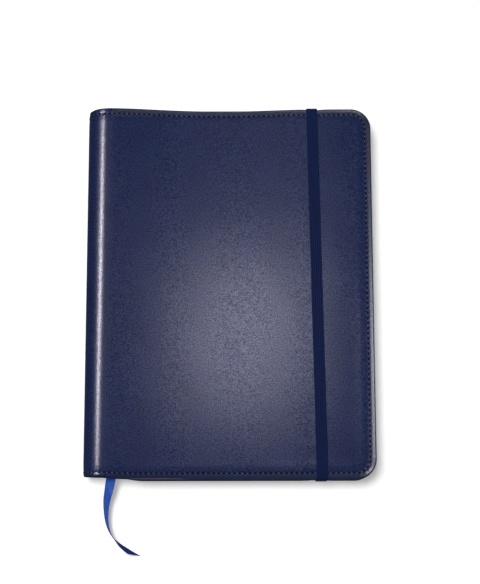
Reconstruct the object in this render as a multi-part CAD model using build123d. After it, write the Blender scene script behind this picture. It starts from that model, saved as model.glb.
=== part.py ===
"""Pilot logbook: a sewn book in a soft leather cover, with an elastic closure and a ribbon bookmark.

Frame: X runs across the book from the spine (-X) to the fore-edge (+X), Y runs up the page from the
tail to the head, and Z runs up through the closed book. The book lies on its back cover at z = 0.
The back cover's pieces are drawn as they lie, and the front cover's are their mirror image.
"""

import math
import os

from build123d import *

# Overall sizes, in millimetres
COVER_WIDTH = 176.0  # spine to fore-edge, with the rounded spine
COVER_HEIGHT = 228.0  # tail to head
BOOK_THICKNESS = 21.0  # outer face to outer face, without the elastic
SPINE_BULGE = 12.0  # how far the rounded leather spine stands out past its hinge lines
CORNER_RADIUS = 12.0  # the two rounded corners at the fore-edge

# Layers of one cover, counted from its outer face
LEATHER = 1.2
STIFFENER_TOP = 2.4
LINING_TOP = 3.2
BOOK_BOARD_TOP = 4.4
ENDPAPER_TOP = 4.55
FLAP_TOP = 5.0
PAGES_START = 5.1

# Insets and edges of the cover's inner layers
STIFFENER_INSET = 5.0
HINGE_MARGIN = 2.0  # the inner layers stop this far short of the hinge line
STIFFENER_HINGE_MARGIN = 3.5
BOOK_BOARD_INSET = 5.0
BOOK_BOARD_CORNER = 7.0
BOOK_BOARD_POCKET_GAP = 0.4  # room for the inner book's board in the flap's pocket
FLAP_START_X = -24.0  # the flap is a wide pocket

# Edge seam
SEAM_INSET = 3.5
THREAD_WIDTH = 0.6
THREAD_DEPTH = 0.35
GROOVE_WIDTH = 0.7
THREAD_SINK = 0.05  # the thread lies this far below the leather

# Pages, as sewn sections that are numbered from the front cover
SECTION_COUNT = 8
PAGES_INSET = 1.5  # from the hinge line to the pages' back edge
PAGE_FORE_EDGE_X = 80.0
PAGE_HEIGHT = 214.0
SECTION_GAP = 0.05
RIBBON_GAP = 0.4

# Spine strip, its cloth and the headbands
STRIP_THICKNESS = 0.8
STRIP_HEIGHT = 217.0
STRIP_END_CLEARANCE = 1.4
MULL_THICKNESS = 0.4
MULL_HEIGHT = 206.0
MULL_END_CLEARANCE = 3.4
HEADBAND_DEPTH = 1.6
HEADBAND_WIDTH = 1.0
HEADBAND_GAP = 0.1

# Elastic band
ELASTIC_X = 53.5
ELASTIC_WIDTH = 6.6
ELASTIC_THICKNESS = 1.0
ELASTIC_GAP = 0.05
ELASTIC_CORNER = 1.2
ANCHOR_LENGTH = 5.0

# Ribbon bookmark
RIBBON_WIDTH = 6.0
RIBBON_THICKNESS = 0.3
RIBBON_X = -70.4
RIBBON_ROUTE = [  # out of the pages' tail edge and down to the surface that the book lies on
    (RIBBON_X, -107.0, 10.5),
    (RIBBON_X, -118.0, 10.5),
    (-74.2, -131.0, 4.4),
    (-73.4, -144.0, 2.0),
    (-65.0, -154.5, 1.2),
    (-58.4, -158.8, 1.0),
]
ROUTE_ARC_SHARE = 0.45  # an arc takes this share of the shorter run beside it

# Planes that the sizes above set
FORE_EDGE_X = COVER_WIDTH / 2
HINGE_X = -COVER_WIDTH / 2 + SPINE_BULGE
MID_Z = BOOK_THICKNESS / 2
HALF_HEIGHT = COVER_HEIGHT / 2
PAGES_START_X = HINGE_X + PAGES_INSET


def slab(x_low, x_high, height, z_low, z_high):
    """A plain block, centred on Y."""
    size = (x_high - x_low, height, z_high - z_low)
    place = Pos((x_low + x_high) / 2, 0, (z_low + z_high) / 2)
    return place * Box(*size)


def cover_outline(inset, x_low=HINGE_X):
    """The cover's outline, square at the hinge line and rounded at the fore-edge."""
    x_high = FORE_EDGE_X - inset
    outline = Pos((x_low + x_high) / 2, 0) * Rectangle(x_high - x_low, COVER_HEIGHT - 2 * inset)
    fore_corners = outline.vertices().sort_by(Axis.X)[-2:]
    return fillet(fore_corners, CORNER_RADIUS - inset)


def cover_layer(inset, z_low, z_high, x_low=HINGE_X):
    """One flat layer of the back cover."""
    return Pos(0, 0, z_low) * extrude(cover_outline(inset, x_low), z_high - z_low)


def seam_strip(width, z_low, z_high):
    """A strip that follows the cover's edge at the seam, open at the hinge line."""
    outer = cover_layer(SEAM_INSET - width / 2, z_low, z_high)
    inner = cover_layer(SEAM_INSET + width / 2, z_low, z_high)
    return outer - inner


def to_front(piece):
    """The front cover's twin of a back cover piece."""
    return mirror(piece, about=Plane.XY.offset(MID_Z))


# Covers


def leather():
    return cover_layer(0, 0, LEATHER) - seam_strip(GROOVE_WIDTH, 0, THREAD_DEPTH)


def seam():
    return seam_strip(THREAD_WIDTH, THREAD_SINK, THREAD_DEPTH)


def stiffener():
    return cover_layer(STIFFENER_INSET, LEATHER, STIFFENER_TOP, HINGE_X + STIFFENER_HINGE_MARGIN)


def lining():
    """The lining lies over the stiffener and is sewn to the leather round its edge."""
    return cover_layer(0, LEATHER, LINING_TOP, HINGE_X + HINGE_MARGIN) - stiffener()


def book_board_block(spare, z_high):
    """The inner book's board, or with spare room round it, the pocket that it sits in."""
    x_high = FORE_EDGE_X - BOOK_BOARD_INSET + spare
    height = COVER_HEIGHT - 2 * (BOOK_BOARD_INSET - spare)
    block = slab(HINGE_X + HINGE_MARGIN, x_high, height, LINING_TOP, z_high)
    fore_corners = block.edges().filter_by(Axis.Z).sort_by(Axis.X)[-2:]
    return fillet(fore_corners, BOOK_BOARD_CORNER)


def book_board():
    return book_board_block(0, BOOK_BOARD_TOP)


def endpaper():
    return slab(HINGE_X + HINGE_MARGIN, FLAP_START_X - 1, PAGE_HEIGHT, BOOK_BOARD_TOP, ENDPAPER_TOP)


def flap():
    """The leather flap at the fore-edge that holds the inner book's board like a pocket."""
    whole = cover_layer(0, LINING_TOP, FLAP_TOP, FLAP_START_X)
    return whole - book_board_block(BOOK_BOARD_POCKET_GAP, BOOK_BOARD_TOP)


# Spine


def spine_shell(outer_depth, inner_depth, length):
    """A half-round shell between two depths below the spine's outer face, centred on Y."""
    outer = Ellipse(SPINE_BULGE - outer_depth, MID_Z - outer_depth)
    inner = Ellipse(SPINE_BULGE - inner_depth, MID_Z - inner_depth)
    outside_half = Pos(-BOOK_THICKNESS / 2, 0) * Rectangle(BOOK_THICKNESS, 2 * BOOK_THICKNESS)
    section = (outer - inner) & outside_half
    upright = Plane(origin=(HINGE_X, 0, MID_Z), x_dir=(1, 0, 0), z_dir=(0, -1, 0))
    return extrude(upright * section, length / 2, both=True)


def spine_seam_strip(width, outer_depth):
    """The seam's strips across the spine, near its head and its tail."""
    strip = spine_shell(outer_depth, THREAD_DEPTH, width)
    places = [HALF_HEIGHT - SEAM_INSET, SEAM_INSET - HALF_HEIGHT]
    return [Pos(0, y, 0) * strip for y in places]


def spine_leather():
    return spine_shell(0, LEATHER, COVER_HEIGHT) - spine_seam_strip(GROOVE_WIDTH, 0)


def spine_seam():
    return Compound(children=spine_seam_strip(THREAD_WIDTH, THREAD_SINK))


def spine_board():
    z_low = STRIP_END_CLEARANCE
    return slab(HINGE_X, HINGE_X + STRIP_THICKNESS, STRIP_HEIGHT, z_low, BOOK_THICKNESS - z_low)


def spine_mull():
    x_low = HINGE_X + STRIP_THICKNESS
    z_low = MULL_END_CLEARANCE
    return slab(x_low, x_low + MULL_THICKNESS, MULL_HEIGHT, z_low, BOOK_THICKNESS - z_low)


def headband(side):
    """The bead behind the pages at the head (side 1) or the tail (side -1)."""
    x_low = HINGE_X + STRIP_THICKNESS
    bead = slab(x_low, x_low + HEADBAND_DEPTH, HEADBAND_WIDTH, FLAP_TOP, BOOK_THICKNESS - FLAP_TOP)
    outer_edges = bead.edges().filter_by(Axis.Z).sort_by(Axis.X)[-2:]
    bead = fillet(outer_edges, HEADBAND_WIDTH * 0.4)
    return Pos(0, side * (PAGE_HEIGHT / 2 + HEADBAND_GAP + HEADBAND_WIDTH / 2), 0) * bead


# Pages


def signature(number):
    """One sewn section of pages. The ribbon's gap parts the front and the back half."""
    half_count = SECTION_COUNT // 2
    pitch = (MID_Z - RIBBON_GAP / 2 - PAGES_START) / half_count
    from_back = SECTION_COUNT - number
    z_low = PAGES_START + from_back * pitch
    if from_back >= half_count:
        z_low += RIBBON_GAP + SECTION_GAP
    return slab(PAGES_START_X, PAGE_FORE_EDGE_X, PAGE_HEIGHT, z_low, z_low + pitch - SECTION_GAP)


# Ribbon bookmark


def ribbon_in_pages():
    z_low = MID_Z - RIBBON_THICKNESS / 2
    x_low = RIBBON_X - RIBBON_WIDTH / 2
    return slab(x_low, x_low + RIBBON_WIDTH, PAGE_HEIGHT, z_low, z_low + RIBBON_THICKNESS)


def route_radii(points):
    """The largest arc at each corner of a route that its two runs allow."""
    vectors = [Vector(*point) for point in points]
    runs = [end - start for start, end in zip(vectors, vectors[1:])]
    radii = []
    for before, after in zip(runs, runs[1:]):
        half_turn = math.radians(before.get_angle(after)) / 2
        shorter = min(before.length, after.length)
        radii.append(ROUTE_ARC_SHARE * shorter / math.tan(half_turn))
    return radii


def ribbon_tail():
    radii = route_radii(RIBBON_ROUTE)
    path = FilletPolyline(*RIBBON_ROUTE, radius=radii)
    print("ribbon radii", [round(radius, 1) for radius in radii], "length", round(path.length, 1))
    start = Plane(origin=path @ 0, x_dir=(1, 0, 0), z_dir=path % 0)
    return sweep(start * Rectangle(RIBBON_WIDTH, RIBBON_THICKNESS), path=path)


# Elastic closure


def elastic_band():
    """The band over the front cover and round its two edges, down to its sewn-in ends."""
    inner_y = HALF_HEIGHT + ELASTIC_GAP
    inner_top = BOOK_THICKNESS + ELASTIC_GAP
    outer_y = inner_y + ELASTIC_THICKNESS
    outer_top = inner_top + ELASTIC_THICKNESS
    outer = Pos(0, (LEATHER + outer_top) / 2) * Rectangle(2 * outer_y, outer_top - LEATHER)
    outer = fillet(outer.vertices().sort_by(Axis.Y)[-2:], ELASTIC_CORNER)
    inner = Pos(0, (LEATHER + inner_top) / 2) * Rectangle(2 * inner_y, inner_top - LEATHER)
    lengthways = Plane(origin=(ELASTIC_X, 0, 0), x_dir=(0, 1, 0), z_dir=(1, 0, 0))
    return extrude(lengthways * (outer - inner), ELASTIC_WIDTH / 2, both=True)


def elastic_anchor(side):
    """An end of the band, sewn between the back cover's leather and lining."""
    y_outer = HALF_HEIGHT + ELASTIC_GAP
    size = (ELASTIC_WIDTH, ANCHOR_LENGTH, ELASTIC_THICKNESS)
    y_middle = side * (y_outer - ANCHOR_LENGTH / 2)
    return Pos(ELASTIC_X, y_middle, LEATHER + ELASTIC_THICKNESS / 2) * Box(*size)


anchors = {"elastic_anchor_top": elastic_anchor(1), "elastic_anchor_bottom": elastic_anchor(-1)}

parts = {
    "back_leather": leather(),
    "back_seam": seam(),
    "back_stiffener": stiffener(),
    "back_lining": lining() - list(anchors.values()),
    "back_book_board": book_board(),
    "back_endpaper": endpaper(),
    "back_flap": flap(),
    "front_leather": to_front(leather()),
    "front_seam": to_front(seam()),
    "front_stiffener": to_front(stiffener()),
    "front_lining": to_front(lining()),
    "front_book_board": to_front(book_board()),
    "front_endpaper": to_front(endpaper()),
    "front_flap": to_front(flap()),
    "spine_leather": spine_leather(),
    "spine_seam": spine_seam(),
    "spine_board": spine_board(),
    "spine_mull": spine_mull(),
    "headband_top": headband(1),
    "headband_tail": headband(-1),
    "ribbon_in_pages": ribbon_in_pages(),
    "ribbon_tail": ribbon_tail(),
    "elastic_band": elastic_band(),
    **anchors,
    **{f"signature_{n}": signature(n) for n in range(1, SECTION_COUNT + 1)},
}

os.makedirs("parts", exist_ok=True)
for name, shape in parts.items():
    export_step(shape, f"parts/{name}.step")
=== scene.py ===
"""Looks of the pilot logbook: stitched navy leather, ribbed elastic, satin ribbon and ruled pages.

Everything is in metres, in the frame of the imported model: +X to the fore-edge, +Y to the head,
+Z up through the closed book. A cover's pieces are drawn for the back cover and mirrored to the front.
"""

import math

import bpy
import numpy as np
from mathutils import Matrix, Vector


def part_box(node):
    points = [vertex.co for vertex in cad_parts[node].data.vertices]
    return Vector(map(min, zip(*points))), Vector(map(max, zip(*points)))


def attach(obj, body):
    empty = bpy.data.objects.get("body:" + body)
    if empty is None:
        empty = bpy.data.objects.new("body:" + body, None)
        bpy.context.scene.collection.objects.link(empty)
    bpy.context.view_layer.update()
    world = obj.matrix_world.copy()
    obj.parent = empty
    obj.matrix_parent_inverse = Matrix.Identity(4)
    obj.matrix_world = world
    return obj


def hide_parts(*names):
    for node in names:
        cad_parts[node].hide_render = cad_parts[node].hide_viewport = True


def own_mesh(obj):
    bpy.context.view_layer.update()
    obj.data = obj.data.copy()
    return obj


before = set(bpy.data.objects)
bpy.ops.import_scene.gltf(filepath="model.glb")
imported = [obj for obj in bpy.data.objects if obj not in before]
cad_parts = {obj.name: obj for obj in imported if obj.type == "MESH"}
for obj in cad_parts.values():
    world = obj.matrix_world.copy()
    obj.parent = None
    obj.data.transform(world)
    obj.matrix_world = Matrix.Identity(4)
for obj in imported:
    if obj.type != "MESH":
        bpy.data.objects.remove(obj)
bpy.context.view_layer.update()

MM = 0.001
SHARP_EDGE = math.radians(55)

# Sizes that the frame sets
BACK_LOW, BACK_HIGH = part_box("back_leather")
HINGE_X = BACK_LOW[0]
FORE_X = BACK_HIGH[0]
HALF_HEIGHT = BACK_HIGH[1]
LEATHER = BACK_HIGH[2]
BOOK_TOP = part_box("front_leather")[1][2]
SPINE_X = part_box("spine_leather")[0][0]
SPINE_BULGE = HINGE_X - SPINE_X
MID_Z = BOOK_TOP / 2

# The cover's edge
CORNER_RADIUS = 12 * MM
SEAM_INSET = 3.5 * MM
STITCH_PITCH = 3.1 * MM
MARGIN_DROP = 0.15 * MM  # the leather outside the seam has no stiffener under it
MARGIN_SLOPE = 0.85 * MM
SHOULDER_END = 8.5 * MM
EDGE_ROLL = 0.6 * MM
CHANNEL_DEPTH = 0.16 * MM
CHANNEL_HALF_WIDTH = 0.8 * MM
PUCKER_DEPTH = 0.06 * MM

# The camera, which looks down at the book from a little below its tail edge
CAMERA_DISTANCE = 850 * MM
CAMERA_TILT = math.radians(10.09)
CAMERA_ROLL = math.radians(-0.12)
CAMERA_TARGET = Vector((6.49 * MM, 0.94 * MM, MID_Z))
SENSOR_WIDTH = 36.0
LENS = 84.9

rng = np.random.default_rng(7)


# Small helpers


def smooth(start, end, x):
    """0 before start, 1 after end, and a smooth step between them."""
    t = np.clip((x - start) / (end - start), 0, 1)
    return t * t * (3 - 2 * t)


def new_piece(name, points, faces, material, shade_smooth=True):
    """A mesh object from its points and faces."""
    mesh = bpy.data.meshes.new(name)
    mesh.from_pydata([tuple(p) for p in points], [], [tuple(f) for f in faces])
    mesh.polygons.foreach_set("use_smooth", [shade_smooth] * len(mesh.polygons))
    mesh.materials.append(material)
    mesh.update()
    if shade_smooth:
        mesh.set_sharp_from_angle(angle=SHARP_EDGE)
    piece = bpy.data.objects.new(name, mesh)
    bpy.context.scene.collection.objects.link(piece)
    return piece


def grid_faces(rows, columns, start=0, wrap=False):
    """Quads between the points of a grid that is stored row after row."""
    r, c = np.meshgrid(np.arange(rows - 1), np.arange(columns if wrap else columns - 1), indexing="ij")
    after = (c + 1) % columns
    corners = [r * columns + c, r * columns + after, (r + 1) * columns + after, (r + 1) * columns + c]
    return (np.stack(corners, axis=-1).reshape(-1, 4) + start).tolist()


def grid_rim(rows, columns):
    """The outermost points of such a grid, once round."""
    rim = list(range(columns)) + [r * columns + columns - 1 for r in range(1, rows)]
    rim += [(rows - 1) * columns + c for c in range(columns - 2, -1, -1)]
    return rim + [r * columns for r in range(rows - 2, 0, -1)]


def flipped(faces):
    """The same faces, seen from their other side."""
    return [face[::-1] for face in faces]


def sheet_faces(rows, columns):
    """A closed sheet: an upper grid, its lower twin stored after it, and the wall round their rims."""
    count = rows * columns
    rim = grid_rim(rows, columns)
    wall = [(b, a, a + count, b + count) for a, b in zip(rim, rim[1:] + rim[:1])]
    return grid_faces(rows, columns) + flipped(grid_faces(rows, columns, count)) + wall


def finish_piece(piece, body, nodes):
    """The piece rides on a body and stands for some CAD nodes, which are hidden."""
    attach(piece, body)
    if nodes:
        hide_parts(*nodes)
    return piece


# Materials


def new_material(name, color, roughness, **inputs):
    """A Principled material, with its node tree and shader for more nodes."""
    material = bpy.data.materials.new(name)
    material.use_nodes = True
    tree = material.node_tree
    shader = tree.nodes["Principled BSDF"]
    shader.inputs["Base Color"].default_value = (*color, 1)
    shader.inputs["Roughness"].default_value = roughness
    for label, value in inputs.items():
        shader.inputs[label.replace("_", " ")].default_value = value
    return material, tree, shader


def object_point(tree, scale=(1, 1, 1)):
    """The point on the piece in its own coordinates, scaled."""
    place = tree.nodes.new("ShaderNodeTexCoord")
    mapping = tree.nodes.new("ShaderNodeMapping")
    mapping.inputs["Scale"].default_value = scale
    tree.links.new(place.outputs["Object"], mapping.inputs["Vector"])
    return mapping.outputs["Vector"]


def noise(tree, point, scale, detail=2.0, roughness=0.5):
    """Soft random patches, with so many to a metre."""
    node = tree.nodes.new("ShaderNodeTexNoise")
    node.inputs["Scale"].default_value = scale
    node.inputs["Detail"].default_value = detail
    node.inputs["Roughness"].default_value = roughness
    tree.links.new(point, node.inputs["Vector"])
    return node.outputs["Fac"]


def cells(tree, point, scale):
    """The distance to the middle of each of many small cells."""
    node = tree.nodes.new("ShaderNodeTexVoronoi")
    node.inputs["Scale"].default_value = scale
    tree.links.new(point, node.inputs["Vector"])
    return node.outputs["Distance"]


def wave(tree, point, scale, direction, distortion=0.0):
    """Even bands across a direction."""
    node = tree.nodes.new("ShaderNodeTexWave")
    node.bands_direction = direction
    node.inputs["Scale"].default_value = scale
    node.inputs["Distortion"].default_value = distortion
    tree.links.new(point, node.inputs["Vector"])
    return node.outputs["Fac"]


def remap(tree, value, low, high, start, end):
    """Low where the value is at its start, high where it is at its end."""
    node = tree.nodes.new("ShaderNodeMapRange")
    node.inputs["From Min"].default_value = start
    node.inputs["From Max"].default_value = end
    node.inputs["To Min"].default_value = low
    node.inputs["To Max"].default_value = high
    tree.links.new(value, node.inputs["Value"])
    return node.outputs["Result"]


def math_node(tree, operation, first, second=0.0):
    """One step of arithmetic on two values, each a number or a node's output."""
    node = tree.nodes.new("ShaderNodeMath")
    node.operation = operation
    for socket, value in zip(node.inputs, (first, second)):
        if isinstance(value, (int, float)):
            socket.default_value = value
        else:
            tree.links.new(value, socket)
    return node.outputs["Value"]


def mix_color(tree, factor, first, color):
    """The first colour where the factor is 0, the plain colour where it is 1."""
    node = tree.nodes.new("ShaderNodeMix")
    node.data_type = "RGBA"
    tree.links.new(factor, node.inputs["Factor"])
    tree.links.new(first, node.inputs[6])
    node.inputs[7].default_value = (*color, 1)
    return node.outputs[2]


def color_ramp(tree, value, stops):
    """A ramp through (position, colour) stops."""
    node = tree.nodes.new("ShaderNodeValToRGB")
    ramp = node.color_ramp
    while len(ramp.elements) < len(stops):
        ramp.elements.new(0.5)
    for element, (position, color) in zip(ramp.elements, stops):
        element.position = position
        element.color = (*color, 1)
    tree.links.new(value, node.inputs["Fac"])
    return node.outputs["Color"]


def add_bumps(tree, shader, layers):
    """Bumps from (height, strength, distance) layers, one over the other."""
    normal = None
    for height, strength, distance in layers:
        bump = tree.nodes.new("ShaderNodeBump")
        bump.inputs["Strength"].default_value = strength
        bump.inputs["Distance"].default_value = distance
        tree.links.new(height, bump.inputs["Height"])
        if normal:
            tree.links.new(normal, bump.inputs["Normal"])
        normal = bump.outputs["Normal"]
    tree.links.new(normal, shader.inputs["Normal"])


# The leather's grain, by how many of each fit in a metre
MOTTLE_SCALE = 55
GRAIN_SCALE = 1500
PEBBLE_SCALE = 1300
MOTTLE_SHARE = 0.8  # of the tone, where the rest comes from the fine grain
GRAIN_HEIGHT = 0.1 * MM


def leather_material(name, dark, light, roughness_range, gloss_range):
    """Smooth coated leather: a fine pebble grain that glints in specks, over a soft mottle."""
    material, tree, shader = new_material(name, dark, 0.5)
    point = object_point(tree)
    mottle = noise(tree, point, MOTTLE_SCALE, detail=4, roughness=0.6)
    speckle = noise(tree, point, GRAIN_SCALE, detail=1)
    pebbles = cells(tree, point, PEBBLE_SCALE)
    broad_tone = math_node(tree, "MULTIPLY", mottle, MOTTLE_SHARE)
    fine_tone = math_node(tree, "MULTIPLY", speckle, 1 - MOTTLE_SHARE)
    color = color_ramp(tree, math_node(tree, "ADD", broad_tone, fine_tone), [(0.35, dark), (0.65, light)])
    roughness = remap(tree, mottle, *roughness_range, start=0.3, end=0.7)
    gloss = remap(tree, speckle, *gloss_range, start=0.35, end=0.65)
    tree.links.new(color, shader.inputs["Base Color"])
    tree.links.new(roughness, shader.inputs["Roughness"])
    tree.links.new(gloss, shader.inputs["Specular IOR Level"])
    add_bumps(tree, shader, [(pebbles, 0.08, GRAIN_HEIGHT), (speckle, 0.2, GRAIN_HEIGHT)])
    return material


def thread_material():
    """Tight dark thread, with the slant of its twist. Its near-black tone is partly painted shade, for the
    shaded holes round each stitch.
    """
    core_color = (0.002, 0.003, 0.012)
    material, tree, shader = new_material("thread_twist_and_hole_shade", core_color, 0.8, Specular_IOR_Level=0.12)
    strands = wave(tree, object_point(tree), 900, direction="DIAGONAL")
    color = color_ramp(tree, strands, [(0.2, (0.001, 0.0015, 0.006)), (0.9, (0.004, 0.006, 0.022))])
    tree.links.new(color, shader.inputs["Base Color"])
    add_bumps(tree, shader, [(strands, 0.5, 0.08 * MM)])
    return material


def elastic_material(name, dark, light):
    """Woven elastic: matt yarn with fine crosswise picks."""
    material, tree, shader = new_material(name, dark, 0.85, Specular_IOR_Level=0.15)
    point = object_point(tree)
    picks = wave(tree, point, 620, direction="Y")
    fuzz = noise(tree, point, 2600, detail=2)
    weave = math_node(tree, "MULTIPLY", picks, fuzz)
    tree.links.new(color_ramp(tree, weave, [(0.05, dark), (0.6, light)]), shader.inputs["Base Color"])
    add_bumps(tree, shader, [(picks, 0.4, 0.06 * MM), (fuzz, 0.3, 0.05 * MM)])
    return material


def satin_material(name, dark, light, roughness, gloss):
    """Satin ribbon: fine threads along its length and a soft sheen."""
    material, tree, shader = new_material(name, light, roughness, Anisotropic=0.5, Specular_IOR_Level=gloss)
    point = object_point(tree)
    threads = noise(tree, object_point(tree, (4, 0.6, 1)), 1500, detail=2)
    picks = wave(tree, point, 900, direction="Y", distortion=1.5)
    tree.links.new(color_ramp(tree, threads, [(0.3, dark), (0.7, light)]), shader.inputs["Base Color"])
    add_bumps(tree, shader, [(threads, 0.25, 0.05 * MM), (picks, 0.15, 0.03 * MM)])
    return material


def paper_material(name, dark, light):
    """Uncoated paper, with faint fibres and uneven tone."""
    material, tree, shader = new_material(name, light, 0.85, Specular_IOR_Level=0.2)
    point = object_point(tree)
    tone = noise(tree, point, 40, detail=4)
    fibres = noise(tree, point, 2200, detail=3)
    tree.links.new(color_ramp(tree, tone, [(0.3, dark), (0.7, light)]), shader.inputs["Base Color"])
    add_bumps(tree, shader, [(fibres, 0.15, 0.03 * MM)])
    return material


def stripes(tree, coordinate, pitch, width):
    """1 on thin lines that repeat with the pitch along a coordinate, 0 between them."""
    place = math_node(tree, "FRACT", math_node(tree, "DIVIDE", coordinate, pitch))
    return math_node(tree, "LESS_THAN", place, width / pitch)


# The ruling of a logbook's page
ROW_PITCH = 7 * MM
ROW_LINE = 0.35 * MM
COLUMN_PITCH = 19 * MM
COLUMN_LINE = 0.5 * MM
HEADING_START_Y = 84 * MM


def ruled_material(name):
    """Logbook paper: a tinted head for the columns' titles, row lines and column lines."""
    material, tree, shader = new_material(name, (0.8, 0.78, 0.7), 0.85, Specular_IOR_Level=0.2)
    point = object_point(tree)
    split = tree.nodes.new("ShaderNodeSeparateXYZ")
    tree.links.new(point, split.inputs["Vector"])
    rows = stripes(tree, split.outputs["Y"], ROW_PITCH, ROW_LINE)
    columns = stripes(tree, split.outputs["X"], COLUMN_PITCH, COLUMN_LINE)
    lines = math_node(tree, "MAXIMUM", rows, columns)
    tone = noise(tree, point, 40, detail=4)
    paper = color_ramp(tree, tone, [(0.3, (0.76, 0.74, 0.66)), (0.7, (0.82, 0.8, 0.73))])
    head = math_node(tree, "GREATER_THAN", split.outputs["Y"], HEADING_START_Y)
    tinted = mix_color(tree, head, paper, (0.45, 0.58, 0.68))
    tree.links.new(mix_color(tree, lines, tinted, (0.16, 0.25, 0.42)), shader.inputs["Base Color"])
    return material


def board_material(name, dark, light):
    """Pressed board or book cloth: a fine woven bump over an uneven tone."""
    material, tree, shader = new_material(name, light, 0.75)
    point = object_point(tree)
    tone = noise(tree, point, 300, detail=5, roughness=0.7)
    warp = wave(tree, point, 700, direction="X")
    weft = wave(tree, point, 700, direction="Y")
    cloth = math_node(tree, "MULTIPLY", warp, weft)
    tree.links.new(color_ramp(tree, tone, [(0.3, dark), (0.7, light)]), shader.inputs["Base Color"])
    add_bumps(tree, shader, [(cloth, 0.3, 0.05 * MM)])
    return material


COVER_LEATHER = leather_material(
    "cover_leather", (0.0018, 0.0092, 0.056), (0.0028, 0.0122, 0.069), (0.28, 0.29), (0.2, 0.8)
)
# The margin faces outside the seam take a greyer, glossier copy of the cover leather: its greyer tone is a
# painted sheen along the edge.
MARGIN_SHEEN_LEATHER = leather_material(
    "cover_leather_margin_sheen", (0.004, 0.011, 0.046), (0.007, 0.016, 0.06), (0.28, 0.29), (0.8, 1.0)
)
# The small domes between the stitches: far lighter than the cover leather, a painted highlight on each dome.
PINCH_GLINT_LEATHER = leather_material(
    "pinched_leather_painted_glint", (0.07, 0.07, 0.11), (0.16, 0.16, 0.21), (0.3, 0.4), (0.4, 0.6)
)
LINING_LEATHER = leather_material(
    "lining_leather", (0.012, 0.017, 0.045), (0.02, 0.026, 0.062), (0.5, 0.65), (0.4, 0.5)
)
THREAD_AND_HOLE_SHADE = thread_material()
ELASTIC = elastic_material("elastic_weave", (0.001, 0.007, 0.045), (0.004, 0.019, 0.115))
# A darker copy of the elastic for the grooves between its ribs: painted shade in the grooves.
ELASTIC_GROOVE_SHADE = elastic_material("elastic_groove_painted_shade", (0.0005, 0.002, 0.012), (0.001, 0.004, 0.025))
RIBBON = satin_material("ribbon_satin", (0.01, 0.055, 0.32), (0.024, 0.115, 0.56), 0.34, 0.35)
# The ribbon's back: matt as a satin's back is, and far darker than its face, which is painted shade where
# the twisted ribbon turns away from the light.
RIBBON_BACK_SHADE = satin_material("ribbon_satin_back_shaded", (0.006, 0.018, 0.13), (0.01, 0.028, 0.19), 0.7, 0.08)
PAPER = paper_material("page_paper", (0.74, 0.71, 0.62), (0.83, 0.81, 0.74))
RULED_PAPER = ruled_material("ruled_page_paper")
ENDPAPER = paper_material("endpaper", (0.6, 0.58, 0.5), (0.68, 0.66, 0.58))
BOARD = board_material("grey_board", (0.2, 0.18, 0.15), (0.3, 0.28, 0.24))
BOOK_CLOTH = board_material("book_cloth", (0.006, 0.008, 0.02), (0.012, 0.015, 0.034))
MULL = board_material("mull_cloth", (0.55, 0.52, 0.45), (0.68, 0.66, 0.6))
HEADBAND_WHITE = board_material("headband_white", (0.6, 0.58, 0.52), (0.75, 0.73, 0.68))


# The camera and the ribbon, the one free cord


def place_camera():
    """The camera, tilted from straight above the book towards its tail edge."""
    data = bpy.data.cameras.new("camera")
    data.sensor_width = SENSOR_WIDTH
    data.lens = LENS
    camera = bpy.data.objects.new("camera", data)
    bpy.context.scene.collection.objects.link(camera)
    back = Vector((0, -math.sin(CAMERA_TILT), math.cos(CAMERA_TILT)))
    camera.location = CAMERA_TARGET + CAMERA_DISTANCE * back
    camera.rotation_euler = (CAMERA_TILT, 0, CAMERA_ROLL)
    bpy.context.scene.camera = camera


RIBBON_X = -70.4
RIBBON_WIDTH = 6.0 * MM
RIBBON_THICKNESS = 0.3 * MM
RIBBON_ROUTE = [
    (RIBBON_X, -107.0, 10.5),
    (-71.6, -117.0, 10.5),
    (-74.8, -128.0, 5.0),
    (-73.6, -144.0, 3.6),
    (-65.5, -153.5, 3.2),
    (-57.4, -158.4, 2.8),
]
RIBBON_TWIST = [(0.0, 0.0), (0.2, 20.0), (0.4, 52.0), (0.6, 73.0), (0.75, 88.0), (0.87, 108.0), (1.0, 116.0)]
RIBBON_END_SLANT = 1.1  # the end is cut at a long slant, by this many widths
RIBBON_CUP = 0.25 * MM
RIBBON_COLUMNS = 9
RIBBON_FLOOR_GAP = 0.15 * MM


def ribbon_line():
    """Points along the ribbon, read from a smooth curve with the route's points as its controls."""
    curve = bpy.data.curves.new("ribbon_route", "CURVE")
    curve.dimensions = "3D"
    curve.resolution_u = 24
    spline = curve.splines.new("NURBS")
    spline.points.add(len(RIBBON_ROUTE) - 1)
    for point, place in zip(spline.points, RIBBON_ROUTE):
        point.co = (*(Vector(place) * MM), 1)
    spline.order_u = 3
    spline.use_endpoint_u = True
    holder = bpy.data.objects.new("ribbon_route", curve)
    line = bpy.data.meshes.new_from_object(holder)
    points = np.array([v.co for v in line.vertices])
    bpy.data.objects.remove(holder)
    bpy.data.meshes.remove(line)
    return points


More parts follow.
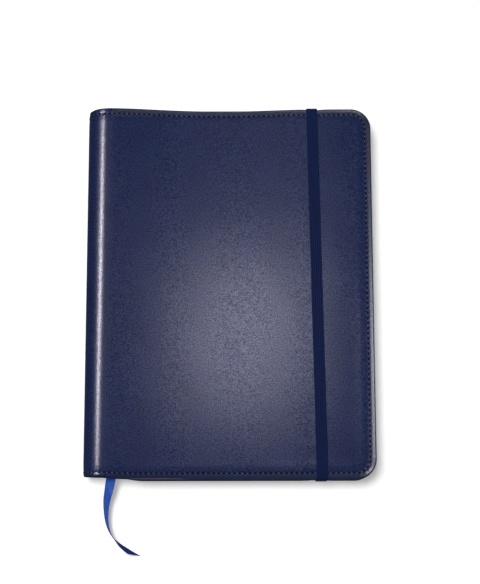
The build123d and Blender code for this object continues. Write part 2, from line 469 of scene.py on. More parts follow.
def ribbon_tail():
    """The free end of the ribbon, which twists over onto its other side as it lies down."""
    path = ribbon_line()
    steps = np.linalg.norm(np.diff(path, axis=0), axis=1)
    along = np.concatenate([[0], np.cumsum(steps)]) / steps.sum()
    tangent = np.gradient(path, axis=0)
    tangent /= np.linalg.norm(tangent, axis=1)[:, None]
    flat_side = np.cross(tangent, (0, 0, 1))
    flat_side /= np.linalg.norm(flat_side, axis=1)[:, None]
    lift = np.cross(flat_side, tangent)
    angle = np.radians(np.interp(along, *zip(*RIBBON_TWIST)))[:, None]
    across = flat_side * np.cos(angle) - lift * np.sin(angle)
    facing = flat_side * np.sin(angle) + lift * np.cos(angle)
    share = np.linspace(-0.5, 0.5, RIBBON_COLUMNS)
    top, under = [], []
    end_cut = smooth(0.7, 1.0, along) * RIBBON_END_SLANT * RIBBON_WIDTH
    for i, centre in enumerate(path):
        for w in share:
            cup = (0.5 - 2 * w * w) * RIBBON_CUP
            place = centre + across[i] * w * RIBBON_WIDTH + facing[i] * cup + tangent[i] * end_cut[i] * w
            top.append(place + facing[i] * RIBBON_THICKNESS / 2)
            under.append(place - facing[i] * RIBBON_THICKNESS / 2)
    points = np.array(top + under)
    points[:, 2] = np.maximum(points[:, 2], RIBBON_FLOOR_GAP)
    piece = new_piece("ribbon_tail_satin", points, sheet_faces(len(path), RIBBON_COLUMNS), RIBBON)
    # The under side of the sheet takes the darker back, painted shade where the ribbon has turned over.
    piece.data.materials.append(RIBBON_BACK_SHADE)
    one_side = (len(path) - 1) * (RIBBON_COLUMNS - 1)
    for index in range(one_side, 2 * one_side):
        piece.data.polygons[index].material_index = 1
    finish_piece(piece, "section_5", ["ribbon_tail"])


# The shape of a cover


def edge_distance(x, y):
    """How far a point is inside the cover's outline, which has no edge at the hinge line."""
    past_x = x - (FORE_X - CORNER_RADIUS)
    past_y = np.abs(y) - (HALF_HEIGHT - CORNER_RADIUS)
    straight = np.minimum(FORE_X - x, HALF_HEIGHT - np.abs(y))
    round_corner = CORNER_RADIUS - np.hypot(past_x, past_y)
    return np.where((past_x > 0) & (past_y > 0), round_corner, straight)


SEAM_RADIUS = CORNER_RADIUS - SEAM_INSET
SEAM_END_RUN = FORE_X - CORNER_RADIUS - HINGE_X
SEAM_ARC = SEAM_RADIUS * math.pi / 2
SEAM_SIDE_RUN = 2 * (HALF_HEIGHT - CORNER_RADIUS)
SEAM_LENGTH = 2 * SEAM_END_RUN + 2 * SEAM_ARC + SEAM_SIDE_RUN
STITCH_COUNT = round(SEAM_LENGTH / STITCH_PITCH)
STITCH_STEP = SEAM_LENGTH / STITCH_COUNT


def seam_place(x, y):
    """How far along the seam a point near it is, from the tail end of the hinge line."""
    past_x = x - (FORE_X - CORNER_RADIUS)
    past_y = np.abs(y) - (HALF_HEIGHT - CORNER_RADIUS)
    corner = (past_x > 0) & (past_y > 0)
    turn = SEAM_RADIUS * np.arctan2(np.maximum(past_x, 0), np.maximum(past_y, 1e-9))
    at_end = np.where(corner, SEAM_END_RUN + turn, x - HINGE_X)
    at_end = np.where(y < 0, at_end, SEAM_LENGTH - at_end)
    at_side = SEAM_END_RUN + SEAM_ARC + y + HALF_HEIGHT - CORNER_RADIUS
    on_side = (FORE_X - x < HALF_HEIGHT - np.abs(y)) & ~corner
    return np.where(on_side, at_side, at_end)


def seam_point(distance):
    """The seam's point and direction at a distance along it."""
    cx, cy = FORE_X - CORNER_RADIUS, HALF_HEIGHT - CORNER_RADIUS
    half = SEAM_LENGTH / 2
    mirrored = distance > half
    d = SEAM_LENGTH - distance if mirrored else distance
    if d < SEAM_END_RUN:
        place, way = (HINGE_X + d, SEAM_INSET - HALF_HEIGHT), (1, 0)
    elif d < SEAM_END_RUN + SEAM_ARC:
        a = (d - SEAM_END_RUN) / SEAM_RADIUS
        place = (cx + SEAM_RADIUS * math.sin(a), -cy - SEAM_RADIUS * math.cos(a))
        way = (math.cos(a), math.sin(a))
    else:
        place, way = (FORE_X - SEAM_INSET, -cy + d - SEAM_END_RUN - SEAM_ARC), (0, 1)
    if mirrored:
        place, way = (place[0], -place[1]), (-way[0], way[1])
    return place, way


SPINE_MARGIN_SHARE = 0.2


def margin_slope(x):
    """How far the margin outside the seam falls away: hardly at all on the spine."""
    off_spine = smooth(HINGE_X, HINGE_X + 10 * MM, x)
    return MARGIN_SLOPE * (SPINE_MARGIN_SHARE + (1 - SPINE_MARGIN_SHARE) * off_spine)


def leather_drop(inside, along, slope=MARGIN_SLOPE):
    """How deep the leather lies below its flat face, by the distance inside the edge and along the seam."""
    drop = MARGIN_DROP * (1 - smooth(SEAM_INSET, SHOULDER_END, inside))
    drop = drop + slope * np.clip(1 - inside / SEAM_INSET, 0, 1)
    pucker = np.cos(2 * math.pi * along / STITCH_STEP)
    dip = np.exp(-(((inside - SEAM_INSET) / CHANNEL_HALF_WIDTH) ** 2))
    wide_dip = np.exp(-(((inside - SEAM_INSET) / (2.2 * CHANNEL_HALF_WIDTH)) ** 2))
    drop = drop + CHANNEL_DEPTH * dip + PUCKER_DEPTH * pucker * wide_dip
    left = np.clip(EDGE_ROLL - inside, 0, EDGE_ROLL)
    return drop + EDGE_ROLL - np.sqrt(EDGE_ROLL**2 - left**2)


def soft_waves(x, y):
    """Slow unevenness of the leather over its stiffener."""
    swell = np.sin(x * 31 + y * 17 + 1.1) + 0.6 * np.sin(x * 67 - y * 41 + 0.4)
    swell = swell + 0.35 * np.sin(x * 140 + y * 96) + 0.25 * np.sin(y * 210 - x * 60 + 2)
    return 0.06 * MM * swell


# How a used cover lies: how far its edges stand out of line, and over which stretch along X
FRONT_SAG = 1.1 * MM
SPINE_LIFT = 2.2 * MM
SPINE_LIFT_SPAN = (-80 * MM, -14 * MM)
CORNER_LIFT = 1.0 * MM
CORNER_LIFT_SPAN = (5 * MM, 50 * MM)
TAIL_LIFT = 0.8 * MM
TAIL_LIFT_SPAN = (-82 * MM, -55 * MM)
LIFT_START_Y = HALF_HEIGHT - 75 * MM  # from here a lift grows towards the edge
TAIL_TRIM = 1.0 * MM
TRIM_FADE = 6 * MM
SPINE_SHOULDER = 2.2 * MM
SHOULDER_START = -67 * MM
ELASTIC_PINCH = 0.55 * MM
PINCH_HALF_WIDTH = 4.5 * MM
PINCH_DEPTH_Y = 14 * MM
ELASTIC_X = (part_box("elastic_band")[0][0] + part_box("elastic_band")[1][0]) / 2


def head_lift(x, y):
    """How far the front's head edge stands out of line: most at the spine, a little at the corner."""
    lift = SPINE_LIFT * (1 - smooth(*SPINE_LIFT_SPAN, x)) + CORNER_LIFT * smooth(*CORNER_LIFT_SPAN, x)
    return lift * smooth(LIFT_START_Y, HALF_HEIGHT, y)


def settle_tail(points, trim_end=HINGE_X):
    """Beside the spine the tail edge lies higher, and its margin is cut short as far as x = trim_end."""
    x, y, z = points[:, 0], points[:, 1], points[:, 2]
    lift = TAIL_LIFT * (1 - smooth(*TAIL_LIFT_SPAN, x)) * smooth(LIFT_START_Y, HALF_HEIGHT, -y)
    outside_seam = np.clip(1 - (HALF_HEIGHT + y) / SEAM_INSET, 0, 1)
    trim = TAIL_TRIM * (1 - smooth(trim_end - TRIM_FADE, trim_end, x)) * outside_seam
    return np.stack([x, y + lift + trim, z], axis=1)


def shoulder_drop(x):
    """How far the front falls towards the spine, on its way into the spine's curve."""
    return SPINE_SHOULDER * np.clip((SHOULDER_START - x) / (SHOULDER_START - SPINE_X), 0, 1) ** 2


def elastic_pinch(x, y):
    """How far the elastic pulls a cover's head and tail edges in."""
    near_elastic = np.exp(-(((x - ELASTIC_X) / PINCH_HALF_WIDTH) ** 2))
    near_edge = smooth(HALF_HEIGHT - PINCH_DEPTH_Y, HALF_HEIGHT, np.abs(y))
    return np.sign(y) * ELASTIC_PINCH * near_elastic * near_edge


def settle_front(points):
    """The front cover's own lie: it sags a little between the spine and the fore-edge."""
    x, y, z = points[:, 0], points[:, 1], points[:, 2]
    across = np.clip((x - HINGE_X) / (FORE_X - HINGE_X), 0, 1)
    depth = np.clip((z - (BOOK_TOP - 5 * MM)) / (5 * MM), 0, 1)
    sag = FRONT_SAG * np.sin(math.pi * across) ** 2 + shoulder_drop(x)
    return np.stack([x, y + head_lift(x, y), z - sag * depth], axis=1)


def settle_cover(points, front, trim_end=HINGE_X):
    """Back cover points as they lie, or for the front cover their mirrored twins as they lie."""
    points = settle_tail(points, trim_end)
    points[:, 1] -= elastic_pinch(points[:, 0], points[:, 1])
    if front:
        points = settle_front(points * np.array([1, 1, -1]) + np.array([0, 0, BOOK_TOP]))
    return points


def spread(start, end, step):
    """Evenly spaced values with about the step asked for."""
    return np.linspace(start, end, max(2, round(abs(end - start) / step) + 1))


def outline_grid(x_low, inset, step, edge_step):
    """Points over the cover's outline: rows across the book, scaled to the rounded corners."""
    x_high = FORE_X - inset
    x_turn = FORE_X - CORNER_RADIUS
    radius = CORNER_RADIUS - inset
    angles = spread(0, math.pi / 2, edge_step / radius)
    xs = np.concatenate([spread(x_low, x_turn, step)[:-1], x_turn + radius * np.sin(angles)])
    y_top = HALF_HEIGHT - inset
    rim = min(12 * MM, y_top / 2)
    near_edge = spread(y_top, y_top - rim, edge_step)
    middle = spread(y_top - rim, rim - y_top, step)[1:-1]
    ys = np.concatenate([near_edge, middle, -near_edge[::-1]])[::-1]
    half = y_top - radius + np.sqrt(np.maximum(radius**2 - np.maximum(xs - x_turn, 0) ** 2, 0))
    return np.meshgrid(xs, ys / y_top, indexing="xy"), half


def cover_sheet(name, body, nodes, material, shape, front=False):
    """A closed sheet with the cover's outline. shape gives its inset, first x, steps and two faces."""
    (x, v), half = outline_grid(shape["x_low"], shape["inset"], shape["step"], shape["edge_step"])
    y = v * half[None, :]
    outer_z = shape["outer"](x, y)
    inner_z = shape["inner"](x, y)
    rows, columns = x.shape
    outer = np.stack([x, y, outer_z], axis=-1).reshape(-1, 3)
    inner = np.stack([x, y, inner_z], axis=-1).reshape(-1, 3)
    rim = np.array(grid_rim(rows, columns))
    count = rows * columns
    points = [outer, inner]
    faces = flipped(grid_faces(rows, columns)) + grid_faces(rows, columns, count)
    centre = outer[rim]
    centre[:, 0] = np.minimum(centre[:, 0], FORE_X - CORNER_RADIUS)
    centre[:, 1] = np.clip(centre[:, 1], CORNER_RADIUS - HALF_HEIGHT, HALF_HEIGHT - CORNER_RADIUS)
    away = outer[rim] - centre
    away[outer[rim, 0] <= shape["x_low"] + 1e-6] *= np.array([0, 1, 0])
    length = np.linalg.norm(away, axis=1)[:, None]
    away = away / np.maximum(length, 1e-9)
    rings = [rim]
    start = 2 * count
    for t in (0.15, 0.5, 0.85):
        bulge = math.sin(math.pi * t) * shape.get("bulge", 0)
        ring = outer[rim] * (1 - t) + inner[rim] * t + away * bulge
        points.append(ring)
        rings.append(np.arange(len(rim)) + start)
        start += len(rim)
    rings.append(rim + count)
    for a, b in zip(rings, rings[1:]):
        after_a, after_b = np.roll(a, -1), np.roll(b, -1)
        faces += np.stack([a, after_a, after_b, b], axis=1).tolist()
    points = settle_cover(np.concatenate(points), front, shape.get("trim_end", HINGE_X))
    if front:
        faces = flipped(faces)
    piece = new_piece(name, points, faces, material)
    # Faces outside the seam, away from the spine, take the margin copy with the painted sheen.
    if "sheen_margin_material" in shape:
        piece.data.materials.append(shape["sheen_margin_material"])
        for polygon in piece.data.polygons:
            x, y = polygon.center[:2]
            polygon.material_index = int(x > HINGE_X + SEAM_INSET and edge_distance(x, y) < SEAM_INSET)
    return finish_piece(piece, body, nodes)


def leather_outer(x, y):
    """The leather's outer face on the back cover: its edge and seam, and waves over the stiffener."""
    inside = edge_distance(x, y)
    flat = smooth(SEAM_INSET, 14 * MM, inside) * smooth(0, 12 * MM, x - HINGE_X)
    drop = leather_drop(inside, seam_place(x, y), margin_slope(x))
    return drop + np.maximum(soft_waves(x, y), -0.2 * MM) * flat + 0.12 * MM * flat


def leather_inner(x, y):
    """The leather's inner face, which follows the slope of the margin."""
    return LEATHER + 0.6 * margin_slope(x) * np.clip(1 - edge_distance(x, y) / SEAM_INSET, 0, 1)


def layer(low_margin, low_flat, rise_start=3.6 * MM, rise_end=6 * MM, ripple=0.0):
    """A face that lies low over the edge's margin and higher over what is inside the cover."""

    def face(x, y):
        inside = edge_distance(x, y)
        wavy = ripple * np.sin(x * 230 + y * 310) * (1 - smooth(0, 6 * MM, inside))
        return low_margin + (low_flat - low_margin) * smooth(rise_start, rise_end, inside) + wavy

    return face


LEATHER_SHAPE = {
    "inset": 0.0, "x_low": HINGE_X, "step": 0.8 * MM, "edge_step": 0.45 * MM,
    "outer": leather_outer, "inner": leather_inner, "bulge": 0.12 * MM, "trim_end": -24 * MM,
    "sheen_margin_material": MARGIN_SHEEN_LEATHER,
}
LINING_SHAPE = {
    "inset": -0.25 * MM, "x_low": HINGE_X + 2 * MM, "step": 4 * MM, "edge_step": 0.8 * MM,
    "outer": layer(1.75 * MM, 2.42 * MM), "inner": layer(2.3 * MM, 3.18 * MM, ripple=0.05 * MM),
    "bulge": 0.15 * MM, "trim_end": -55 * MM,
}
FLAP_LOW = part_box("back_flap")[0]
FLAP_SHAPE = {
    "inset": -0.1 * MM, "x_low": FLAP_LOW[0], "step": 3 * MM, "edge_step": 0.6 * MM,
    "outer": layer(2.36 * MM, 4.42 * MM, 3.8 * MM, 5.4 * MM),
    "inner": layer(3.0 * MM, 4.98 * MM, 3.8 * MM, 5.8 * MM, ripple=0.08 * MM), "bulge": 0.18 * MM,
    "trim_end": -55 * MM,
}
STIFFENER_LOW, STIFFENER_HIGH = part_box("back_stiffener")
STIFFENER_SHAPE = {
    "inset": FORE_X - STIFFENER_HIGH[0], "x_low": STIFFENER_LOW[0], "step": 8 * MM, "edge_step": 1 * MM,
    "outer": layer(STIFFENER_LOW[2] + 0.3 * MM, STIFFENER_LOW[2] + 0.3 * MM),
    "inner": layer(STIFFENER_HIGH[2], STIFFENER_HIGH[2]), "bulge": 0.1 * MM,
}
BOOK_BOARD_LOW, BOOK_BOARD_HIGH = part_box("back_book_board")
BOOK_BOARD_SHAPE = {
    "inset": FORE_X - BOOK_BOARD_HIGH[0], "x_low": BOOK_BOARD_LOW[0], "step": 8 * MM, "edge_step": 1 * MM,
    "outer": layer(BOOK_BOARD_LOW[2], BOOK_BOARD_LOW[2]),
    "inner": layer(BOOK_BOARD_HIGH[2], BOOK_BOARD_HIGH[2]), "bulge": 0.25 * MM,
}


def cover(side):
    """All sheets of one cover."""
    body = side + "_cover"
    front = side == "front"
    sheets = [
        ("leather_skin", "cover_leather", "leather", COVER_LEATHER, LEATHER_SHAPE),
        ("stiffening_board", "board", "stiffener", BOARD, STIFFENER_SHAPE),
        ("lining_sheet", "lining_leather", "lining", LINING_LEATHER, LINING_SHAPE),
        ("pocket_flap", "lining_leather", "flap", LINING_LEATHER, FLAP_SHAPE),
        ("inner_book_board", "board", "book_board", BOOK_CLOTH, BOOK_BOARD_SHAPE),
    ]
    for name, slot, node, material, shape in sheets:
        cover_sheet(f"{side}_{name}", body, [f"{side}_{node}"], material, shape, front)


# Stitches


# The stitches are drawn large, so that their dark oval also covers the shaded hole round each: painted
# shade.
STITCH_LENGTH = 2.1 * MM
STITCH_WIDTH = 0.95 * MM
STITCH_HEIGHT = 0.5 * MM
STITCH_DIVE = 0.38 * MM  # how far each end goes down into its hole
STITCH_SKEW = 0.1 * MM
STITCH_STAND = 0.1 * MM  # how far a stitch's middle stands above the channel's floor


def stitch_mesh(places):
    """One small rounded stitch for each (centre, direction, outward normal)."""
    rings, sides = 7, 8
    t = np.linspace(-1, 1, rings)
    a = np.linspace(0, 2 * math.pi, sides, endpoint=False)
    profile = np.sqrt(np.maximum(1 - np.abs(t) ** 3, 0.02))
    points, faces = [], []
    for i, (centre, way, up) in enumerate(places):
        side = np.cross(up, way)
        for ring in range(rings):
            core = centre + way * t[ring] * STITCH_LENGTH / 2 - up * STITCH_DIVE * t[ring] ** 4
            core = core + side * STITCH_SKEW * t[ring]
            for angle in a:
                radial = side * math.cos(angle) * STITCH_WIDTH + up * math.sin(angle) * STITCH_HEIGHT
                points.append(core + radial / 2 * profile[ring])
        start = i * rings * sides
        faces += grid_faces(rings, sides, start, wrap=True)
        faces.append([start + k for k in range(sides)][::-1])
        faces.append([start + (rings - 1) * sides + k for k in range(sides)])
    return np.array(points), faces


def cover_seam(side):
    """The row of stitches round a cover, on its outer and its inner face."""
    front = side == "front"
    places = []
    for n in range(STITCH_COUNT):
        (x, y), way = seam_point((n + 0.5) * STITCH_STEP)
        outer = float(leather_drop(np.array(SEAM_INSET), (n + 0.5) * STITCH_STEP))
        flap_here = x > FLAP_LOW[0]
        face = FLAP_SHAPE["inner"] if flap_here else LINING_SHAPE["inner"]
        inner = float(face(np.array(x), np.array(y)))
        spots = [(outer - STITCH_STAND, -1)]
        if x > HINGE_X + 3.5 * MM:
            spots.append((inner + 0.02 * MM, 1))
        for z, up in spots:
            places.append((np.array([x, y, z]), np.array([*way, 0.0]), np.array([0.0, 0.0, up])))
    points, faces = stitch_mesh(places)
    if front:
        faces = flipped(faces)
    piece = new_piece(f"{side}_seam_stitches", settle_cover(points, front), faces, THREAD_AND_HOLE_SHADE)
    finish_piece(piece, side + "_cover", [f"{side}_seam"])


BRIDGE_RADIUS = 0.34 * MM
BRIDGE_HEIGHT = 0.2 * MM
BRIDGE_SINK = 0.04 * MM


def bridge_mesh(places):
    """A small dome of leather, pinched up between two stitches, for each (centre, outward normal)."""
    tilts = np.linspace(math.pi / 2, 0.25, 4)
    around = np.linspace(0, 2 * math.pi, 8, endpoint=False)
    points, faces = [], []
    for i, (centre, up) in enumerate(places):
        first = np.cross(up, (0.3, 0.5, 0.1))
        first /= np.linalg.norm(first)
        second = np.cross(up, first)
        start = i * len(tilts) * len(around)
        for tilt in tilts:
            for a in around:
                out = (first * math.cos(a) + second * math.sin(a)) * BRIDGE_RADIUS * math.sin(tilt)
                points.append(centre + out + up * BRIDGE_HEIGHT * math.cos(tilt))
        faces += grid_faces(len(tilts), len(around), start, wrap=True)
        faces.append([start + k for k in range(len(around))][::-1])
        faces.append([start + (len(tilts) - 1) * len(around) + k for k in range(len(around))])
    return np.array(points), faces


def cover_bridges(side):
    """The pinched leather between the stitches, on the cover's outer face, coloured much lighter than the
    cover as a painted highlight.
    """
    places = []
    for n in range(1, STITCH_COUNT):
        (x, y), _ = seam_point(n * STITCH_STEP)
        outer = float(leather_drop(np.array(SEAM_INSET), n * STITCH_STEP))
        places.append((np.array([x, y, outer + BRIDGE_SINK]), np.array([0.0, 0.0, -1.0])))
    points, faces = bridge_mesh(places)
    front = side == "front"
    if front:
        faces = flipped(faces)
    piece = new_piece(f"{side}_leather_pinches", settle_cover(points, front), faces, PINCH_GLINT_LEATHER)
    finish_piece(piece, side + "_cover", [])


# The spine


def settle_spine(points):
    """The spine lies as the covers' edges do, and its upper half as the front does."""
    points = settle_tail(points, HINGE_X + TRIM_FADE)
    share = smooth(0, BOOK_TOP, points[:, 2])
    lift = head_lift(points[:, 0], points[:, 1]) * share
    drop = shoulder_drop(points[:, 0]) * np.clip((points[:, 2] - MID_Z) / (BOOK_TOP - MID_Z), 0, 1)
    return points + np.stack([lift * 0, lift, -drop], axis=1)


def spine_frame(angle, depth):
    """A point of the spine's half-round section and its outward normal, in X and Z."""
    a, b = SPINE_BULGE, MID_Z
    point = np.array([HINGE_X - a * math.sin(angle), MID_Z - b * math.cos(angle)])
    normal = np.array([-math.sin(angle) / a, -math.cos(angle) / b])
    normal /= np.linalg.norm(normal)
    return point - normal * depth, normal


def spine_leather():
    """The rounded leather back, with the same edge and seam as the covers at its head and tail."""
    angles = spread(0, math.pi, math.radians(2.5))
    rim = 12 * MM
    near_edge = spread(HALF_HEIGHT, HALF_HEIGHT - rim, 0.45 * MM)
    middle = spread(HALF_HEIGHT - rim, rim - HALF_HEIGHT, 2 * MM)[1:-1]
    ys = np.concatenate([near_edge, middle, -near_edge[::-1]])[::-1]
    section = [spine_frame(angle, 0)[0] for angle in angles]
    arc = np.concatenate([[0], np.cumsum(np.linalg.norm(np.diff(section, axis=0), axis=1))])
    stitches = round(arc[-1] / STITCH_PITCH)
    outer, inner = [], []
    for y in ys:
        inside = np.array(HALF_HEIGHT - abs(y))
        for angle, place in zip(angles, arc):
            along = place / arc[-1] * stitches * STITCH_STEP
            drop = float(leather_drop(inside, along, margin_slope(HINGE_X)))
            (x, z), _ = spine_frame(angle, drop)
            outer.append((x, y, z))
            (x, z), _ = spine_frame(angle, max(LEATHER, drop + 0.6 * MM))
            inner.append((x, y, z))
    points = settle_spine(np.array(outer + inner))
    piece = new_piece("spine_leather_skin", points, sheet_faces(len(ys), len(angles)), COVER_LEATHER)
    finish_piece(piece, "spine", ["spine_leather"])
    places, bridges = [], []
    for y in (HALF_HEIGHT - SEAM_INSET, SEAM_INSET - HALF_HEIGHT):
        for n in range(2 * stitches):
            turns = (n + 1) / 2
            angle = float(np.interp(turns / stitches * arc[-1], arc, angles))
            drop = float(leather_drop(np.array(SEAM_INSET), turns * STITCH_STEP))
            is_stitch = n % 2 == 0
            (x, z), normal = spine_frame(angle, drop - STITCH_STAND if is_stitch else drop + BRIDGE_SINK)
            up = np.array([normal[0], 0, normal[1]])
            way = np.cross(up, np.array([0, 1.0, 0]))
            if is_stitch:
                places.append((np.array([x, y, z]), way, up))
            else:
                bridges.append((np.array([x, y, z]), up))
    points, faces = stitch_mesh(places)
    stitched = new_piece("spine_seam_stitches", settle_spine(points), faces, THREAD_AND_HOLE_SHADE)
    finish_piece(stitched, "spine", ["spine_seam"])
    # The domes between the spine's stitches, with the same painted highlight.
    points, faces = bridge_mesh(bridges)
    pinched = new_piece("spine_leather_pinches", settle_spine(points), faces, PINCH_GLINT_LEATHER)
    finish_piece(pinched, "spine", [])
    for part in (piece, stitched, pinched):
        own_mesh(part)


# Pages


LEAVES_PER_SECTION = 8


def signature(number):
    """One section: folded leaves with their own slightly uneven edges."""
    low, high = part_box(f"signature_{number}")
    rows = LEAVES_PER_SECTION * 2 + 1
    levels = np.linspace(low[2], high[2], rows)
    corner = 1.2 * MM
    turn = np.linspace(0, math.pi / 2, 4)
    points, faces = [], []
    for r, z in enumerate(levels):
        groove = 0.07 * MM if r % 2 else 0.0
        uneven = rng.uniform(0, 0.12 * MM, 3)
        fold = 0.35 * MM * (2 * abs(r / (rows - 1) - 0.5)) ** 2
        x_low, x_high = low[0] + fold, high[0] - groove - uneven[0]
        y_low, y_high = low[1] + groove + uneven[1], high[1] - groove - uneven[2]
        cx = x_high - corner
        ring = [(x_low, y_low)]
        ring += [(cx + corner * math.sin(a), y_low + corner - corner * math.cos(a)) for a in turn]
        ring += [(cx + corner * math.cos(a), y_high - corner + corner * math.sin(a)) for a in turn]
        ring += [(x_low, y_high)]
        points += [(x, y, z) for x, y in ring]
    sides = len(ring)
    faces = grid_faces(rows, sides, wrap=True)
    faces.append(list(range(sides))[::-1])
    faces.append([(rows - 1) * sides + k for k in range(sides)])
    piece = new_piece(f"signature_{number}_leaves", np.array(points), faces, PAPER, shade_smooth=False)
    piece.data.materials.append(RULED_PAPER)
    for page in piece.data.polygons[-2:]:
        page.material_index = 1
    finish_piece(piece, f"section_{number}", [f"signature_{number}"])


def ribbon_in_pages():
    """The ribbon where it lies between the pages."""
    low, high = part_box("ribbon_in_pages")
    ys = spread(low[1], high[1], 4 * MM)
    xs = spread(low[0], high[0], 1 * MM)
    x, y = np.meshgrid(xs, ys)
    lower = np.stack([x, y, np.full_like(x, low[2])], axis=-1).reshape(-1, 3)
    upper = np.stack([x, y, np.full_like(x, high[2])], axis=-1).reshape(-1, 3)
    faces = sheet_faces(*x.shape)
    piece = new_piece("ribbon_between_pages", np.concatenate([upper, lower]), faces, RIBBON)
    finish_piece(piece, "section_5", ["ribbon_in_pages"])


HEADBAND_STRIPE = 0.72 * MM


def headband(side, node):
    """A bead of cloth wound over a core, in stripes."""
    low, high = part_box(node)
    z = spread(low[2], high[2], 0.18 * MM)
    centre = (low[0], (low[1] + high[1]) / 2)
    sides = 12
    points = []
    for level in z:
        ridge = 1 + 0.12 * math.sin(2 * math.pi * (level - low[2]) / HEADBAND_STRIPE)
        for k in range(sides):
            a = 2 * math.pi * k / sides
            x = max(centre[0], centre[0] + (high[0] - low[0]) * 0.5 * (1 + math.cos(a) * ridge * 0.9))
            points.append((x, centre[1] + (high[1] - low[1]) * 0.5 * math.sin(a) * ridge * 0.85, level))
    faces = grid_faces(len(z), sides, wrap=True)
    faces.append(list(range(sides))[::-1])
    faces.append([(len(z) - 1) * sides + k for k in range(sides)])
    piece = new_piece(f"headband_{side}_bead", np.array(points), faces, HEADBAND_WHITE)
    piece.data.materials.append(RIBBON)
    for polygon in piece.data.polygons:
        polygon.material_index = int((polygon.center.z - low[2]) / HEADBAND_STRIPE) % 2
    finish_piece(piece, "spine", [node])


# The elastic band


ELASTIC_LEAN = 0.0178  # the band leans, so that its tail end is nearer the fore-edge
ELASTIC_RIBS = 6
ELASTIC_THICKNESS = 0.65 * MM
ELASTIC_RIB_HEIGHT = 0.2 * MM
ELASTIC_BEND = 1.6 * MM
ELASTIC_EDGE_DROP = 0.95 * MM  # how far it comes down with the margin before it bends


def elastic_band():
    """Ribbed elastic over the front cover and round the two edges to its sewn-in ends."""
    low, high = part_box("elastic_band")
    width = high[0] - low[0] + 0.3 * MM
    centre_x = ELASTIC_X + 0.3 * MM
    y_out = high[1] - 0.75 * MM
    top = BOOK_TOP + 0.3 * MM
    bend = ELASTIC_BEND
    ys = spread(y_out - bend, bend - y_out, 1.2 * MM)
    turn = np.linspace(0, math.pi / 2, 7)[1:]
    head_turn = [(y_out - bend + bend * math.sin(a), -bend + bend * math.cos(a)) for a in turn]
    run = [(y, 0.0) for y in ys[::-1]]
    legs = [(y_out, z - BOOK_TOP) for z in spread(BOOK_TOP - bend, LEATHER + 0.4 * MM, 1.2 * MM)[1:]]
    half = head_turn + legs
    line_y, line_z = np.array([(-y, z) for y, z in half[::-1]] + run + half).T
    across = (centre_x - HINGE_X) / (FORE_X - HINGE_X)
    sag = FRONT_SAG * math.sin(math.pi * across) ** 2 * smooth(-6 * MM, 0, line_z)
    over = smooth(0, 10 * MM, line_y + HALF_HEIGHT) * smooth(0, 10 * MM, HALF_HEIGHT - line_y)
    z = top + line_z - sag - ELASTIC_EDGE_DROP * (1 - over) * (line_z > -bend)
    y = line_y + head_lift(centre_x, line_y) * smooth(LEATHER, MID_Z, z)
    path = np.stack([centre_x - ELASTIC_LEAN * line_y, y, z], axis=1)
    tangent = np.gradient(path[:, 1:], axis=0)
    tangent /= np.linalg.norm(tangent, axis=1)[:, None]
    outward = np.stack([-tangent[:, 1], tangent[:, 0]], axis=1)
    per_rib = 6
    share = np.linspace(-0.5, 0.5, ELASTIC_RIBS * per_rib + 1)
    rib = ELASTIC_RIB_HEIGHT * np.abs(np.sin(math.pi * ELASTIC_RIBS * (share + 0.5))) ** 0.6
    edge = 0.25 * MM * smooth(0.44, 0.5, np.abs(share))
    upper, lower = [], []
    for place, out in zip(path, outward):
        for w, half_thickness in zip(share, ELASTIC_THICKNESS / 2 + rib - edge):
            x = place[0] + w * width
            for store, offset in ((upper, half_thickness), (lower, -half_thickness)):
                store.append((x, place[1] + out[0] * offset, place[2] + out[1] * offset))
    rows, columns = len(path), len(share)
    piece = new_piece("elastic_band_ribbed", np.array(upper + lower), sheet_faces(rows, columns), ELASTIC)
    # The faces beside each groove take the darker copy, painted shade between the ribs.
    piece.data.materials.append(ELASTIC_GROOVE_SHADE)
    for index in range(2 * (rows - 1) * (columns - 1)):
        if index % (columns - 1) % per_rib in (0, per_rib - 1):
            piece.data.polygons[index].material_index = 1
    finish_piece(piece, "elastic", ["elastic_band"])
    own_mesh(piece)


# CAD pieces that keep their shape


def paint(node, material):
    """A finish for a CAD piece that is shown as it is."""
    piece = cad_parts[node]
    piece.data.materials.clear()
    piece.data.materials.append(material)


# The studio

# Each soft light: where it hangs, where it points, its width and length, its power and its tint
LIGHTS = {
    "spine_softbox": ((-0.54, 0.14, 0.6), (-0.08, 0, 0), (0.42, 0.1), 6.2, (0.98, 0.91, 1)),
    "head_panel": ((0.3, 1.05, 0.72), (0.06, 0, 0), (0.6, 0.25), 2.4, (1, 1, 1)),
    "fore_panel": ((0.74, 0.06, 0.74), (0.08, 0, 0), (0.2, 0.3), 3.2, (0.88, 0.86, 1)),
    "corner_panel": ((0.6, -0.4, 0.82), (0.08, -0.1, 0), (0.2, 0.2), 2.6, (0.88, 0.86, 1)),
    "cover_glow": ((0.011, 0.023, 0.38), (0.011, -0.03, 0), (0.012, 0.13), 0.21, (0.89, 0.86, 1)),
    "cover_halo": ((0.03, 0.15, 0.5), (0.03, -0.03, 0), (0.08, 0.36), 0.094, (0.87, 0.87, 1)),
    "floor_key": ((-0.66, 0.33, 3), (0, 0, 0), (1.1, 1), 75, (1, 1, 1)),
}
KEY_LIGHT = "floor_key"  # it gives the shadow; all the other lights are there for their reflections
ROOM_LIGHT = 0.09
FLOOR_ALBEDO = 0.9
FLOOR_GLOW = 0.34
FLOOR_REACH = 12.0
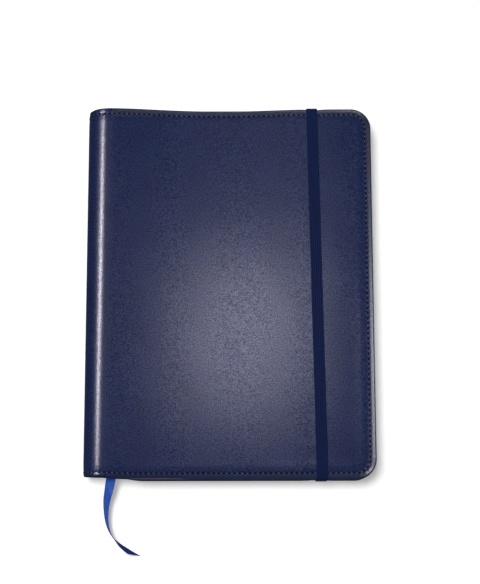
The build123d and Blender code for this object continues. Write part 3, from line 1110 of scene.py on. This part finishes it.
FLOOR_Z = -0.4 * MM


def add_area_light(name, place, target, size, power, color):
    """One soft light. The key light lights surfaces, and the others show only as reflections."""
    data = bpy.data.lights.new(name, "AREA")
    data.shape = "RECTANGLE"
    data.size, data.size_y = size
    data.energy = power
    data.color = color
    light = bpy.data.objects.new(name, data)
    bpy.context.scene.collection.objects.link(light)
    light.location = place
    light.rotation_euler = (Vector(target) - Vector(place)).to_track_quat("-Z", "Y").to_euler()
    light.visible_glossy = name != KEY_LIGHT
    light.visible_diffuse = name == KEY_LIGHT


def studio():
    """The room, its lights and a pale floor."""
    world = bpy.data.worlds.new("studio")
    world.use_nodes = True
    background = world.node_tree.nodes["Background"]
    background.inputs["Color"].default_value = (1, 1, 1, 1)
    background.inputs["Strength"].default_value = ROOM_LIGHT
    bpy.context.scene.world = world
    bpy.context.scene.view_settings.view_transform = "Standard"
    for name, settings in LIGHTS.items():
        add_area_light(name, *settings)
    white = (FLOOR_ALBEDO, FLOOR_ALBEDO, FLOOR_ALBEDO)
    floor_material, _, shader = new_material("studio_floor", white, 0.9, Specular_IOR_Level=0.0)
    shader.inputs["Emission Color"].default_value = (1, 1, 1, 1)
    shader.inputs["Emission Strength"].default_value = FLOOR_GLOW
    corners = [(x * FLOOR_REACH, y * FLOOR_REACH, 0) for x, y in ((-1, -1), (1, -1), (1, 1), (-1, 1))]
    floor = new_piece("studio_floor", corners, [(0, 1, 2, 3)], floor_material)
    floor.location.z = FLOOR_Z
    floor.visible_glossy = False


place_camera()
ribbon_tail()
for cover_side in ("back", "front"):
    cover(cover_side)
    cover_seam(cover_side)
    cover_bridges(cover_side)
    paint(f"{cover_side}_endpaper", ENDPAPER)
spine_leather()
paint("spine_board", BOOK_CLOTH)
paint("spine_mull", MULL)
headband("top", "headband_top")
headband("tail", "headband_tail")
for section in range(1, 9):
    signature(section)
ribbon_in_pages()
elastic_band()
for anchor in ("elastic_anchor_top", "elastic_anchor_bottom"):
    paint(anchor, ELASTIC)
studio()
